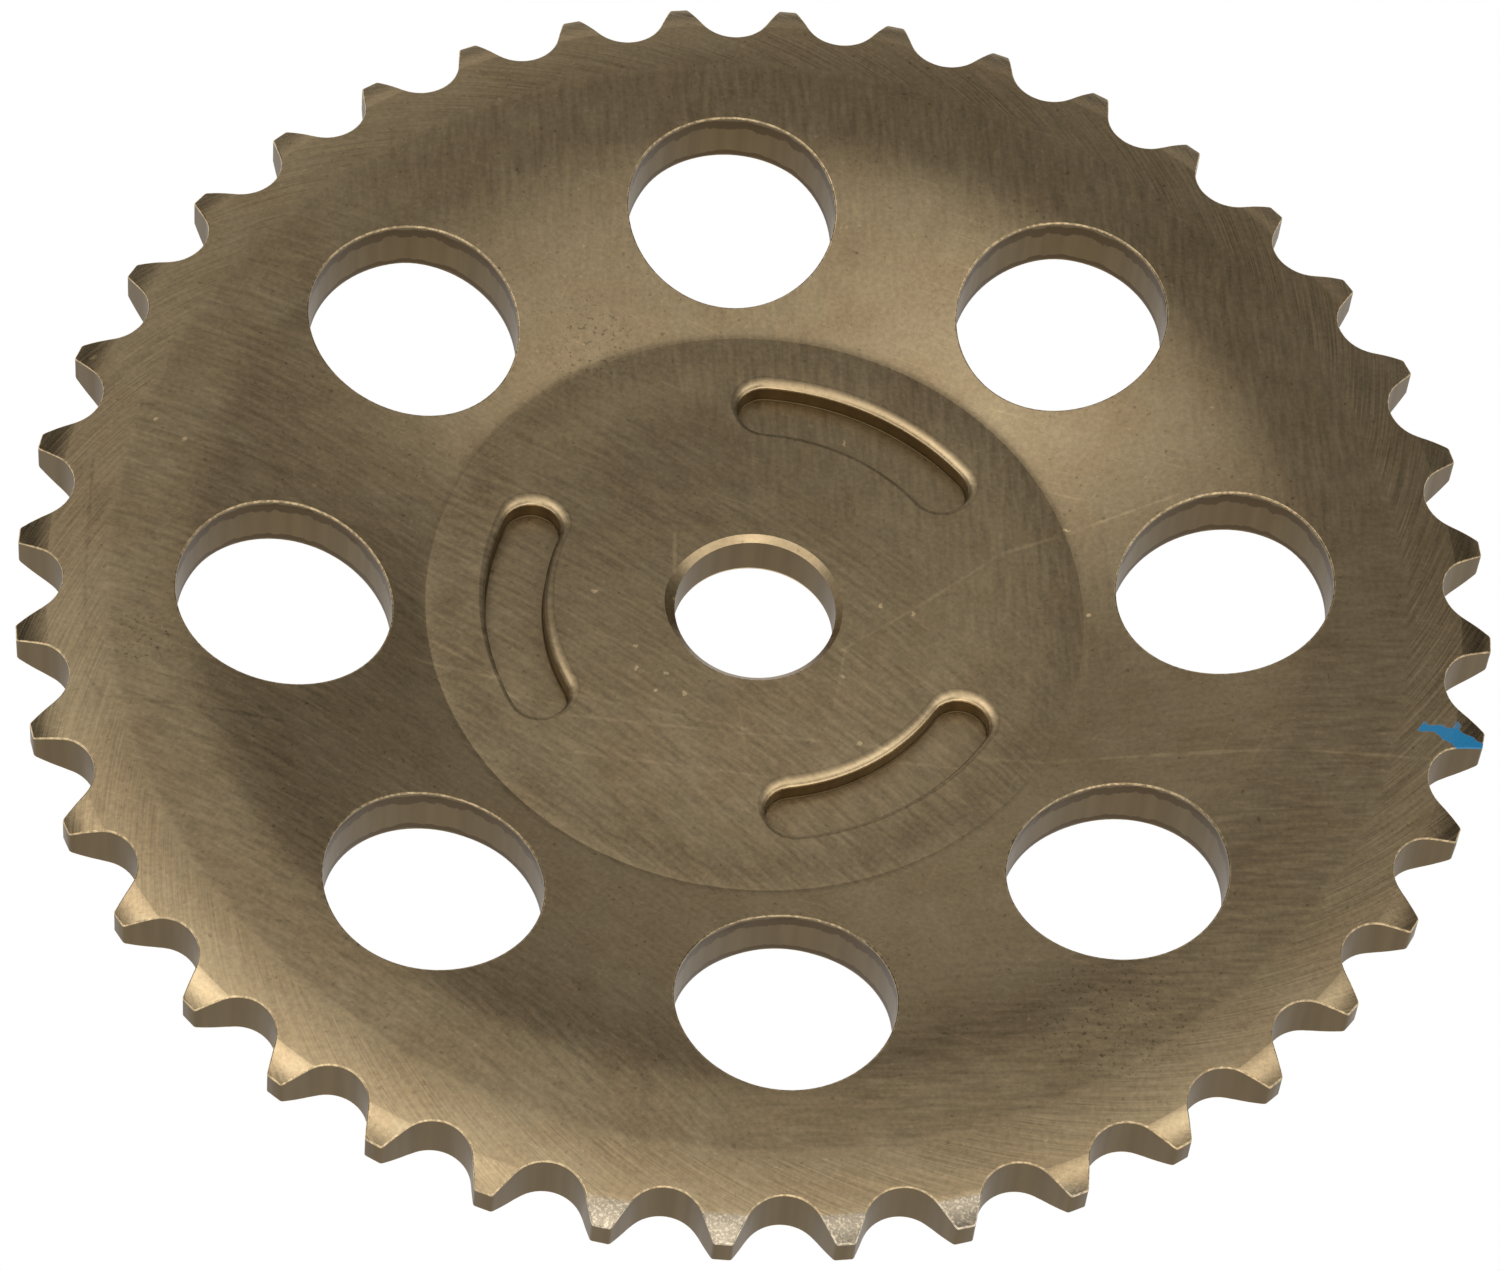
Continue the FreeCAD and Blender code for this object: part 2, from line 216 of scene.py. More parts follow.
# ---------------------------------------------------------------- outlines
# A loop is its points and its normals, which point out of the metal

def spread(start, end, count):
    return np.linspace(start, end, count + 1)


def gap_outline():
    """One tooth gap, from its lower tip corner round to the upper one: points, normals, and
    how far from the middle the relief's crease meets it."""
    out = np.array([-math.cos(SEAT_END), math.sin(SEAT_END)])
    seat_end = np.array([SEAT_X, 0]) + SEAT * out
    flank_c = seat_end + FLANK * out
    reach = TIP + CORNER_PAST_TIP - CORNER
    across = np.hypot(*flank_c)
    along = (across ** 2 + reach ** 2 - (FLANK - CORNER) ** 2) / (2 * across)
    aside = math.sqrt(reach ** 2 - along ** 2)
    to = flank_c / across
    corner_c = to * along + np.array([to[1], -to[0]]) * aside
    away = (corner_c - flank_c) / np.linalg.norm(corner_c - flank_c)
    flank_stop = math.atan2(away[1], away[0])
    lean = math.acos((TIP ** 2 - reach ** 2 - CORNER ** 2) / (2 * reach * CORNER))
    corner_stop = math.atan2(corner_c[1], corner_c[0]) - lean
    points, normals = [], []
    inset = SEAT + TOOTH_EDGE
    crease = math.acos((SEAT_X ** 2 + inset ** 2 - RELIEF ** 2) / (2 * SEAT_X * inset))
    seat = np.concatenate([spread(0, crease, 8), [SEAT_END]])
    for a in seat:
        points.append([SEAT_X - SEAT * math.cos(a), SEAT * math.sin(a)])
        normals.append([math.cos(a), -math.sin(a)])
    for a in spread(-SEAT_END, flank_stop, 4)[1:]:
        points.append(flank_c + FLANK * np.array([math.cos(a), math.sin(a)]))
        normals.append([math.cos(a), math.sin(a)])
    for a in spread(flank_stop, corner_stop, 4)[1:]:
        points.append(corner_c + CORNER * np.array([math.cos(a), math.sin(a)]))
        normals.append([math.cos(a), math.sin(a)])
    points, normals = np.array(points), np.array(normals)
    flip = np.array([1, -1])
    return (np.concatenate([(points * flip)[:0:-1], points]),
            np.concatenate([(normals * flip)[:0:-1], normals]), len(seat) - 2)


def turned(xy, angle):
    c, s = math.cos(angle), math.sin(angle)
    return xy @ np.array([[c, s], [-s, c]])


def teeth_loop():
    """The loop round all teeth, and for each gap the two places where the creases meet it."""
    gap, gap_n, crease = gap_outline()
    middle = len(gap) // 2
    last = math.atan2(gap[-1, 1], gap[-1, 0])
    points, normals, creases = [], [], []
    for k in range(TEETH):
        at = TEETH_TURN + k * STEP
        here = sum(map(len, points)) + middle
        creases.append((here - crease, here + crease))
        points.append(turned(gap, at))
        normals.append(turned(gap_n, at))
        land = at + spread(last, STEP - last, 2)[1:-1]
        points.append(TIP * np.stack([np.cos(land), np.sin(land)], 1))
        normals.append(np.stack([np.cos(land), np.sin(land)], 1))
    return np.concatenate(points), np.concatenate(normals), creases


def circle_loop(centre, radius, count):
    a = np.arange(count) * 2 * math.pi / count
    n = np.stack([np.cos(a), np.sin(a)], 1)
    return np.array(centre) + radius * n, -n


def slot_loop(turn, half_width, sign):
    """Arc slot with round ends; sign -1 where the void is inside it."""
    points, normals = [], []

    def add(angle, centre, radius, way=1):
        n = np.array([math.cos(angle), math.sin(angle)])
        points.append(centre + radius * n)
        normals.append(way * n)

    def cap(end, first):
        centre = SLOT_MID * np.array([math.cos(end), math.sin(end)])
        for a in first + spread(0, math.pi, 12)[:-1]:
            add(a, centre, half_width)

    for a in spread(-SLOT_SPAN, SLOT_SPAN, 36)[:-1]:
        add(a, 0, SLOT_MID + half_width)
    cap(SLOT_SPAN, SLOT_SPAN)
    for a in spread(SLOT_SPAN, -SLOT_SPAN, 30)[:-1]:
        add(a, 0, SLOT_MID - half_width, -1)
    cap(-SLOT_SPAN, math.pi - SLOT_SPAN)
    return turned(np.array(points), turn), turned(np.array(normals), turn) * sign


# ---------------------------------------------------------------- mesh

class Builder:
    """Collects vertices with their depth, and faces with their corner normals and zone."""

    def __init__(self):
        self.co = []
        self.faces = []
        self.normals = []
        self.zones = []
        self.depth = []

    def add(self, xyz, depth=0.0):
        first = len(self.co)
        self.co.extend(map(tuple, xyz))
        self.depth.extend(np.broadcast_to(depth, len(xyz)).tolist())
        return np.arange(first, first + len(xyz))

    def face(self, corners, normals, zone):
        """Add a face, turned so that it looks the way of its normals."""
        p = np.array([self.co[i] for i in corners])
        q = p - p[0]
        flat = sum((np.cross(q[i], q[i + 1]) for i in range(1, len(p) - 1)), np.zeros(3))
        if flat @ np.sum(normals, axis=0) < 0:
            corners, normals = corners[::-1], normals[::-1]
        self.faces.append([int(i) for i in corners])
        self.normals.extend(np.asarray(n) / max(np.linalg.norm(n), 1e-9) for n in normals)
        self.zones.append(zone)

    def strip(self, ring_a, ring_b, normals_a, normals_b, zone):
        count = len(ring_a)
        for i in range(count):
            j = (i + 1) % count
            self.face([ring_a[i], ring_a[j], ring_b[j], ring_b[i]],
                      [normals_a[i], normals_a[j], normals_b[j], normals_b[i]], zone)


def lift(normals, z=0.0):
    return np.column_stack([normals, np.full(len(normals), z)])


def rolled_edge(build, loop, table, sign, width, drop, steps=3):
    """Rings from the face over a rounded edge to the wall. Gives the face's ring and the
    wall's ring with its height."""
    points, normals = loop
    width = np.broadcast_to(width, len(points))
    drop = np.broadcast_to(drop, len(points))
    inner = points - normals * width[:, None]
    facing = face_normals(table, inner, np.hypot(inner[:, 0], inner[:, 1]), sign)
    rings, shades, levels = [], [], []
    for k in range(steps + 1):
        a = k / steps * math.pi / 2
        across, down = math.cos(a), math.sin(a)
        xy = points - normals * (width * (1 - down))[:, None]
        z = look_up(table, np.hypot(xy[:, 0], xy[:, 1])) - sign * drop * (1 - across)
        rings.append(build.add(np.column_stack([xy, z]), drop * (1 - across)))
        shade = lift(normals) * (drop * down)[:, None] + facing * (width * across)[:, None]
        shades.append(shade / np.linalg.norm(shade, axis=1)[:, None])
        levels.append(z)
    for k in range(steps):
        build.strip(rings[k], rings[k + 1], shades[k], shades[k + 1], EDGE)
    return rings[0], rings[-1], levels[-1]


def chamfer(build, loop, width, drop):
    """A plain chamfer on the flat hub, with sharp borders. Gives rings as rolled_edge does."""
    points, normals = loop
    slope = lift(normals, 1)
    level = np.full(len(points), HUB_Z)
    top = build.add(np.column_stack([points - normals * width[:, None], level]))
    foot = build.add(np.column_stack([points, level - drop]), drop)
    build.strip(top, foot, slope, slope, EDGE)
    return top, foot, level - drop


def wall(build, loop, top_ring, top_z, end_ring, rows, zone, rough=0.0):
    """The wall between two rings, in rows whose depths below the top ring are given."""
    points, normals = loop
    side = lift(normals)
    above = top_ring
    for depth in rows:
        push = np.zeros(len(points))
        if depth < ROUGH_DEPTH:
            push = rough * RNG.normal(0, 1, len(points))
        push = (push + np.roll(push, 1) + np.roll(push, -1)) / 3
        xy = points - normals * np.abs(push)[:, None]
        ring = build.add(np.column_stack([xy, top_z - depth]), depth + EDGE_DROP)
        build.strip(above, ring, side, side, zone)
        above = ring
    build.strip(above, end_ring, side, side, zone)


def fill(build, outer, inners, table, sign, spots, chains):
    """Triangles between an outer ring and inner rings, through extra spots and chains."""
    given = []
    where = []
    edges = []
    for ring in [outer, *inners]:
        first = len(given)
        given.extend(int(i) for i in ring)
        where.extend(build.co[int(i)][:2] for i in ring)
        edges.extend((first + i, first + (i + 1) % len(ring)) for i in range(len(ring)))
    index_of = {v: i for i, v in enumerate(given)}
    for chain in chains:
        run = []
        for item in chain:
            if isinstance(item, (int, np.integer)):
                run.append(index_of[int(item)])
            else:
                run.append(len(where))
                where.append(tuple(item))
                given.append(None)
        edges.extend(zip(run[:-1], run[1:]))
    for spot in spots:
        where.append(tuple(spot))
        given.append(None)
    verts, _, faces, origin, _, _ = geometry.delaunay_2d_cdt(
        [Vector((float(x), float(y))) for x, y in where], edges, [], 1, 1e-5)
    xy = np.array([[v.x, v.y] for v in verts])
    r = np.hypot(xy[:, 0], xy[:, 1])
    voids = [np.array([build.co[int(i)][:2] for i in ring]) for ring in inners]
    starts = np.concatenate(voids)
    ends = np.concatenate([np.roll(ring, -1, axis=0) for ring in voids])
    names = []
    for i, sources in enumerate(origin):
        source = sources[0] if sources else None
        if source is not None and given[source] is not None:
            names.append(given[source])
        else:
            z = look_up(table, r[i])
            names.append(build.add([(xy[i, 0], xy[i, 1], float(z))])[0])
    for face in faces:
        middle = xy[list(face)].mean(axis=0)
        if inside(middle, starts, ends):
            continue
        hint = np.full(len(face), np.hypot(*middle))
        shade = face_normals(table, xy[list(face)], hint, sign)
        build.face([names[i] for i in face], list(shade), FACE)


def inside(point, starts, ends):
    """Whether a point lies within one of the closed rings whose edges are given."""
    x, y = point
    crossed = (starts[:, 1] > y) != (ends[:, 1] > y)
    a, b = starts[crossed], ends[crossed]
    reach = a[:, 0] + (y - a[:, 1]) * (b[:, 0] - a[:, 0]) / (b[:, 1] - a[:, 1])
    return np.count_nonzero(x < reach) % 2 == 1


def in_slot(point, margin):
    """Whether a point is in one of the arc slots grown by a margin."""
    for turn in SLOT_TURNS:
        x, y = turned(np.array([point]), -turn)[0]
        angle = math.atan2(y, x)
        near = max(-SLOT_SPAN, min(SLOT_SPAN, angle))
        gap = math.hypot(x - SLOT_MID * math.cos(near), y - SLOT_MID * math.sin(near))
        if gap < SLOT_HALF + margin:
            return True
    return False


def open_place(point, slot_room):
    """Whether a point of a face is clear of the bore, the holes and the slots."""
    x, y = point
    if math.hypot(x, y) < BORE + BORE_ROOM:
        return False
    if any(math.hypot(x - a, y - b) < HOLE + HOLE_ROOM for a, b in HOLES):
        return False
    return not in_slot(point, slot_room)


def interior_spots(pitch, slot_room, bends):
    """Inner points of a face, on a shaken triangular grid."""
    row_gap, reach, shake = 0.866, 57, 0.12
    spots = []
    rows = int(reach / (pitch * row_gap)) + 1
    for j in range(-rows, rows + 1):
        for i in range(-rows, rows + 1):
            x = (i + 0.5 * (j % 2)) * pitch + RNG.uniform(-shake, shake)
            y = j * pitch * row_gap + RNG.uniform(-shake, shake)
            r = math.hypot(x, y)
            if r > LAST_SPOT or any(abs(r - bend) < BEND_ROOM for bend in bends):
                continue
            if open_place((x, y), slot_room):
                spots.append((x, y))
    return spots


def ring_chain(radius, count):
    """A closed chain of points round a ring."""
    a = np.arange(count + 1) * 2 * math.pi / count
    chain = [(radius * math.cos(t), radius * math.sin(t)) for t in a[:-1]]
    return [*chain, chain[0]]


def tooth_chains(loop_ring, creases):
    """The crease across each tooth where its relief starts, on the face's ring."""
    chains = []
    for k in range(TEETH):
        upper = loop_ring[creases[k][1]]
        lower = loop_ring[creases[(k + 1) % TEETH][0]]
        a = TEETH_TURN + (k + 0.5) * STEP
        across = [(RELIEF * math.cos(a + d), RELIEF * math.sin(a + d))
                  for d in np.radians([-1.0, -0.5, 0, 0.5, 1.0])]
        chains.append([upper, *across, lower])
    return chains


def uneven(count, low, high):
    """Gently varying numbers round a closed loop."""
    v = RNG.uniform(0, 1, count)
    for _ in range(2):
        v = (v + np.roll(v, 1) + np.roll(v, -1)) / 3
    v = (v - v.min()) / (v.max() - v.min())
    return low + (high - low) * v


def front_face(build, teeth, creases, holes, bore, slots):
    """The front face with its edges. Gives the rings where the walls start."""
    soft = uneven(len(teeth[0]), 0.09, 0.16)
    teeth_top = rolled_edge(build, teeth, FRONT_TABLE, 1, TOOTH_EDGE, soft)
    hole_tops = [rolled_edge(build, hole, FRONT_TABLE, 1, 0.16, 0.14) for hole in holes]
    # The bore's chamfer is widest on the left
    around = np.arange(BORE_POINTS) / BORE_POINTS * 2 * math.pi
    lead = 0.55 + 0.35 * np.exp(-((around - 2.9) / 0.5) ** 2)
    bore_top = chamfer(build, bore, lead, 0.5)
    slot_tops = []
    for loop in slots:
        roll = np.clip(0.5 - 0.8 * loop[1] @ ROLL_WAY, 0, 1)
        slot_tops.append(rolled_edge(build, loop, FRONT_TABLE, 1,
                                     0.32 + 0.75 * roll, 0.1 + 0.34 * roll, 5))
    spots = interior_spots(1.15, 1.7, HUB_BENDS + BAND_BENDS)
    chains = [ring_chain(r, HUB_POINTS) for r in HUB_BENDS]
    chains += [ring_chain(r, BAND_POINTS) for r in BAND_BENDS]
    chains += tooth_chains(teeth_top[0], creases)
    voids = [bore_top[0], *(top[0] for top in hole_tops), *(top[0] for top in slot_tops)]
    fill(build, teeth_top[0], voids, FRONT_TABLE, 1, spots, chains)
    return teeth_top, hole_tops, bore_top, slot_tops


def back_face(build, teeth, creases, holes, bore, lugs):
    """The back face with its edges. Gives the rings where the walls end, and the lugs' feet."""
    teeth_end = rolled_edge(build, teeth, BACK_TABLE, -1, TOOTH_EDGE, 0.12)
    hole_ends = [rolled_edge(build, hole, BACK_TABLE, -1, 0.14, 0.12) for hole in holes]
    bore_end = rolled_edge(build, bore, BACK_TABLE, -1, 0.5, 0.5)
    feet = [build.add(lift(lug[0], BACK_Z), LUG_SHADE) for lug in lugs]
    spots = interior_spots(1.5, 0.8, ())
    voids = [bore_end[0], *(end[0] for end in hole_ends), *feet]
    fill(build, teeth_end[0], voids, BACK_TABLE, -1, spots, tooth_chains(teeth_end[0], creases))
    return teeth_end, hole_ends, bore_end, feet


def make_sprocket():
    build = Builder()
    points, normals, creases = teeth_loop()
    teeth = (points, normals)
    holes = [circle_loop(c, HOLE, HOLE_POINTS) for c in HOLES]
    bore = circle_loop((0, 0), BORE, BORE_POINTS)
    slots = [slot_loop(t, SLOT_HALF, -1) for t in SLOT_TURNS]
    lugs = [slot_loop(t, SLOT_HALF - 0.06, 1) for t in SLOT_TURNS]
    teeth_top, hole_tops, bore_top, slot_tops = front_face(
        build, teeth, creases, holes, bore, slots)
    teeth_end, hole_ends, bore_end, lug_feet = back_face(
        build, teeth, creases, holes, bore, lugs)

    # Walls through the metal
    wall(build, teeth, *teeth_top[1:], teeth_end[1], TOOTH_ROWS, WALL, 0.012)
    for loop, top, end in zip(holes, hole_tops, hole_ends):
        wall(build, loop, *top[1:], end[1], HOLE_ROWS, HOLE_WALL, 0.05)
    wall(build, bore, *bore_top[1:], bore_end[1], BORE_ROWS, BORE_WALL)

    # Recesses in front
    for loop, top in zip(slots, slot_tops):
        inner = loop[0] + loop[1] * 0.12
        foot = build.add(lift(loop[0], FLOOR_Z + 0.1), 1.9)
        flat = build.add(lift(inner, FLOOR_Z), 2.1)
        wall(build, loop, *top[1:], foot, SLOT_ROWS, WALL, 0.02)
        up = lift(np.zeros_like(loop[1]), 1)
        # The strip at the recess's foot is in the walls' zone, so it takes their dark colour as
        # painted shade in the corner
        build.strip(foot, flat, lift(loop[1]) + up, up, WALL)
        fill_flat(build, flat, 1)

    # Lugs behind
    for loop, foot in zip(lugs, lug_feet):
        rim = build.add(lift(loop[0], LUG_Z + LUG_BREAK), LUG_SHADE)
        bevel = build.add(lift(loop[0] - loop[1] * LUG_BREAK, LUG_Z), LUG_SHADE)
        side = lift(loop[1])
        down = lift(np.zeros_like(loop[1]), -1)
        build.strip(foot, rim, side, side, WALL)
        build.strip(rim, bevel, side + down * 0.3, side * 0.3 + down, EDGE)
        fill_flat(build, bevel, -1)
    return finish_mesh(build, "sprocket_steel")


def fill_flat(build, ring, sign):
    """A flat face inside one ring."""
    where = [Vector(build.co[int(i)][:2]) for i in ring]
    edges = [(i, (i + 1) % len(ring)) for i in range(len(ring))]
    _, _, faces, origin, _, _ = geometry.delaunay_2d_cdt(where, edges, [], 1, 1e-5)
    normal = np.array([0, 0, sign])
    for face in faces:
        build.face([int(ring[origin[i][0]]) for i in face], [normal] * len(face), FLOOR)


def finish_mesh(build, name):
    mesh = bpy.data.meshes.new(name)
    mesh.from_pydata([tuple(0.001 * c for c in v) for v in build.co], [], build.faces)
    mesh.polygons.foreach_set("use_smooth", [True] * len(mesh.polygons))
    zone = mesh.attributes.new("zone", "FLOAT", "FACE")
    zone.data.foreach_set("value", [float(z) for z in build.zones])
    depth = mesh.attributes.new("depth", "FLOAT", "POINT")
    depth.data.foreach_set("value", [float(d) for d in build.depth])
    mesh.normals_split_custom_set([tuple(n) for n in build.normals])
    mesh.update()
    obj = bpy.data.objects.new(name, mesh)
    bpy.context.collection.objects.link(obj)
    return obj


# ---------------------------------------------------------------- materials

class Nodes:
    """Short ways to add shader nodes; every method gives the socket of its result."""

    def __init__(self, owner):
        self.tree = owner.node_tree

    def put(self, kind, inputs=(), out=0, **settings):
        node = self.tree.nodes.new(kind)
        for key, value in settings.items():
            setattr(node, key, value)
        for place, value in dict(inputs).items():
            if isinstance(value, bpy.types.NodeSocket):
                self.tree.links.new(value, node.inputs[place])
            else:
                node.inputs[place].default_value = value
        return node.outputs[out]

    def math(self, operation, *values, **settings):
        return self.put("ShaderNodeMath", enumerate(values), operation=operation, **settings)

    def times(self, first, second):
        return self.math("MULTIPLY", first, second)

    def plus(self, first, second):
        return self.math("ADD", first, second)

    def minus(self, first, second):
        return self.math("SUBTRACT", first, second)

    def vector(self, operation, *values, out=0):
        return self.put("ShaderNodeVectorMath", enumerate(values), out, operation=operation)

    def dot(self, place, way):
        return self.vector("DOT_PRODUCT", place, Vector(way), out=1)

    def length(self, place):
        return self.vector("LENGTH", place, out=1)

    def combine(self, x, y, z=0.0):
        return self.put("ShaderNodeCombineXYZ", {0: x, 1: y, 2: z})

    def separate(self, place):
        return self.put("ShaderNodeSeparateXYZ", {0: place}).node.outputs

    def span(self, value, low, high, to_low=0.0, to_high=1.0):
        """Smooth step of a value from low..high to to_low..to_high."""
        return self.put("ShaderNodeMapRange", {0: value, 1: low, 2: high, 3: to_low, 4: to_high},
                        interpolation_type="SMOOTHSTEP")

    def fade(self, value, low, high):
        """Smooth step from 1 down to 0."""
        return self.span(value, low, high, 1.0, 0.0)

    def noise(self, place, scale, detail=2.0, rough=0.5):
        return self.put("ShaderNodeTexNoise", {"Vector": place, "Scale": scale, "Detail": detail,
                                               "Roughness": rough})

    def centred(self, noise, size):
        """A noise made to vary about 0."""
        return self.times(self.minus(noise, 0.5), size)

    def mix(self, share, first, second):
        return self.put("ShaderNodeMix", {0: share, 2: first, 3: second})

    def tint(self, share, first, second):
        return self.put("ShaderNodeMix", {0: share, 6: first, 7: second}, 2, data_type="RGBA")


def off_line(n, place, points):
    """Distance in the XY plane from a place to a run of straight lines."""
    least = None
    for a, b in zip(points[:-1], points[1:]):
        start, way = Vector((*a, 0)), Vector((b[0] - a[0], b[1] - a[1], 0))
        rel = n.vector("SUBTRACT", place, start)
        along = n.dot(rel, way / way.length_squared)
        share = n.math("MULTIPLY", along, 1.0, use_clamp=True)
        foot = n.vector("MULTIPLY", n.combine(share, share, share), way)
        gap = n.length(n.vector("SUBTRACT", rel, foot))
        least = gap if least is None else n.math("MINIMUM", least, gap)
    return least


# The grinding's arcs run round a far centre, at this radius in the middle of the face
FAR_X, FAR_Y, FAR_RADIUS = 113.0, 134.0, 150.0
# The outer band's lines lean by this length for each turn of one radian
BAND_MID, BAND_LEAN = 56.5, 30.0


def grinding(n, place, x, y, radius):
    """The lines of the grinding: the grain, where the upper field is, and the outer band."""
    from_far_x, from_far_y = n.plus(x, FAR_X), n.plus(y, FAR_Y)
    swing = n.times(n.math("ARCTAN2", from_far_y, from_far_x), FAR_RADIUS)
    far_radius = n.length(n.combine(from_far_x, from_far_y))
    arcs = n.noise(n.combine(far_radius, n.times(swing, 0.13)), 2.2, 2.0, 0.6)
    upright = n.noise(n.combine(x, n.times(y, 0.12), 5.0), 2.0, 2.0, 0.6)
    level = n.noise(n.combine(n.times(x, 0.14), y, 9.0), 1.9, 2.0, 0.6)
    soft = n.centred(n.noise(place, 0.045, 1.0), 40.0)
    upper = n.span(n.plus(n.plus(n.times(x, 0.8), y), soft), 0.0, 26.0)
    lower = n.span(n.plus(n.minus(x, y), soft), 30.0, 60.0)
    grain = n.mix(lower, n.mix(upper, arcs, upright), level)
    turn = n.math("ARCTAN2", y, x)
    twist = n.minus(turn, n.math("DIVIDE", n.minus(radius, BAND_MID), BAND_LEAN))
    swirl = n.combine(n.times(n.math("COSINE", twist), BAND_MID),
                      n.times(n.math("SINE", twist), BAND_MID), n.times(radius, 0.1))
    band = n.span(radius, 53.9, 54.7)
    return n.mix(band, grain, n.noise(swirl, 3.4, 1.0, 0.55)), upper, band


def hairlines(n, x, y):
    """Fine scratches that follow the grinding, and a few across it."""
    along = n.noise(n.combine(n.times(n.plus(n.times(x, 0.91), n.times(y, -0.42)), 0.035),
                              n.plus(n.times(x, 0.42), n.times(y, 0.91))), 3.4, 1.0)
    across = n.noise(n.combine(n.times(n.plus(n.times(x, 0.5), n.times(y, 0.87)), 0.03),
                               n.plus(n.times(x, 0.87), n.times(y, -0.5))), 3.0, 1.0)
    return n.plus(n.span(along, 0.66, 0.74, 0.0, 0.10), n.span(across, 0.70, 0.78, 0.0, 0.08))


def edge_wear_and_highlight(n, place, radius, zone):
    """Brighter rolled edges: on the teeth and holes in nicked patches, partly wear and partly
    painted highlight; on the slots and bore by their way, a painted highlight where they face
    against ROLL_WAY and painted shade where they face along it.
    """
    # Nicked patches of brighter edge, partly wear and partly painted highlight
    nicks_and_glints = n.span(n.noise(place, 2.6, 2.0, 0.6), 0.4, 0.62)
    at_slots = n.times(n.span(radius, 15.5, 15.8), n.fade(radius, 24.5, 24.8))
    facing = n.dot(n.put("ShaderNodeTexCoord", out=1), (*ROLL_WAY, 0))
    # Painted highlight on the edges that face against ROLL_WAY, painted shade on those that face
    # along it
    edge_highlight_and_shade = n.span(facing, 0.12, -0.3, -0.35, 0.24)
    inner_edge = n.math("MAXIMUM", at_slots, n.fade(radius, 8.0, 8.2))
    edge_wear_and_glint = n.mix(inner_edge, n.times(nicks_and_glints, 0.6), edge_highlight_and_shade)
    return n.times(n.math("COMPARE", zone, float(EDGE), 0.4), edge_wear_and_glint)


def handling_marks(n, tone, flat, front):
    """The front's scratches, bright specks and pits, on top of a tone."""
    wander = n.centred(n.noise(flat, 0.5, 2.0), 0.5)
    faint = n.span(n.noise(flat, 0.35, 2.0), 0.3, 0.6, 0.25, 1.0)
    for points, strength in SCRATCHES:
        gap = n.math("ABSOLUTE", n.plus(off_line(n, flat, points), wander))
        mark = n.times(n.times(n.fade(gap, 0.06, 0.22), faint), front)
        tone = n.plus(tone, n.times(mark, strength))
    ragged = n.centred(n.noise(flat, 2.6, 1.0), 0.7)
    for x, y in SPECKS:
        gap = n.plus(n.vector("DISTANCE", flat, Vector((x, y, 0)), out=1), ragged)
        tone = n.plus(tone, n.times(n.fade(gap, 0.10, 0.26), front))
    pits = 0.0
    for x, y, half_x, half_y in PITTED:
        rel = n.vector("MULTIPLY", n.vector("SUBTRACT", flat, Vector((x, y, 0))),
                       Vector((1 / half_x, 1 / half_y, 0)))
        pits = n.plus(pits, n.fade(n.length(rel), 0.4, 1.0))
    pits = n.times(n.times(pits, n.span(n.noise(flat, 2.4, 2.0, 0.6), 0.58, 0.68)), front)
    return n.times(tone, n.minus(1.0, n.times(pits, 0.45)))


def paint_mark(n, flat, x, y, z, zone):
    """Where the brushed paint is, wider to the right, on the front and its edges."""
    brush = n.centred(n.noise(n.combine(n.times(x, 0.4), y), 1.1, 1.0), 1.7)
    paint = n.minus(off_line(n, flat, PAINT), n.span(x, 54.5, 57.5, 0.35, 1.05))
    return n.times(n.fade(n.plus(paint, brush), -0.05, 0.12),
                   n.times(n.span(z, 1.0, 1.2), n.fade(zone, 1.2, 1.4)))


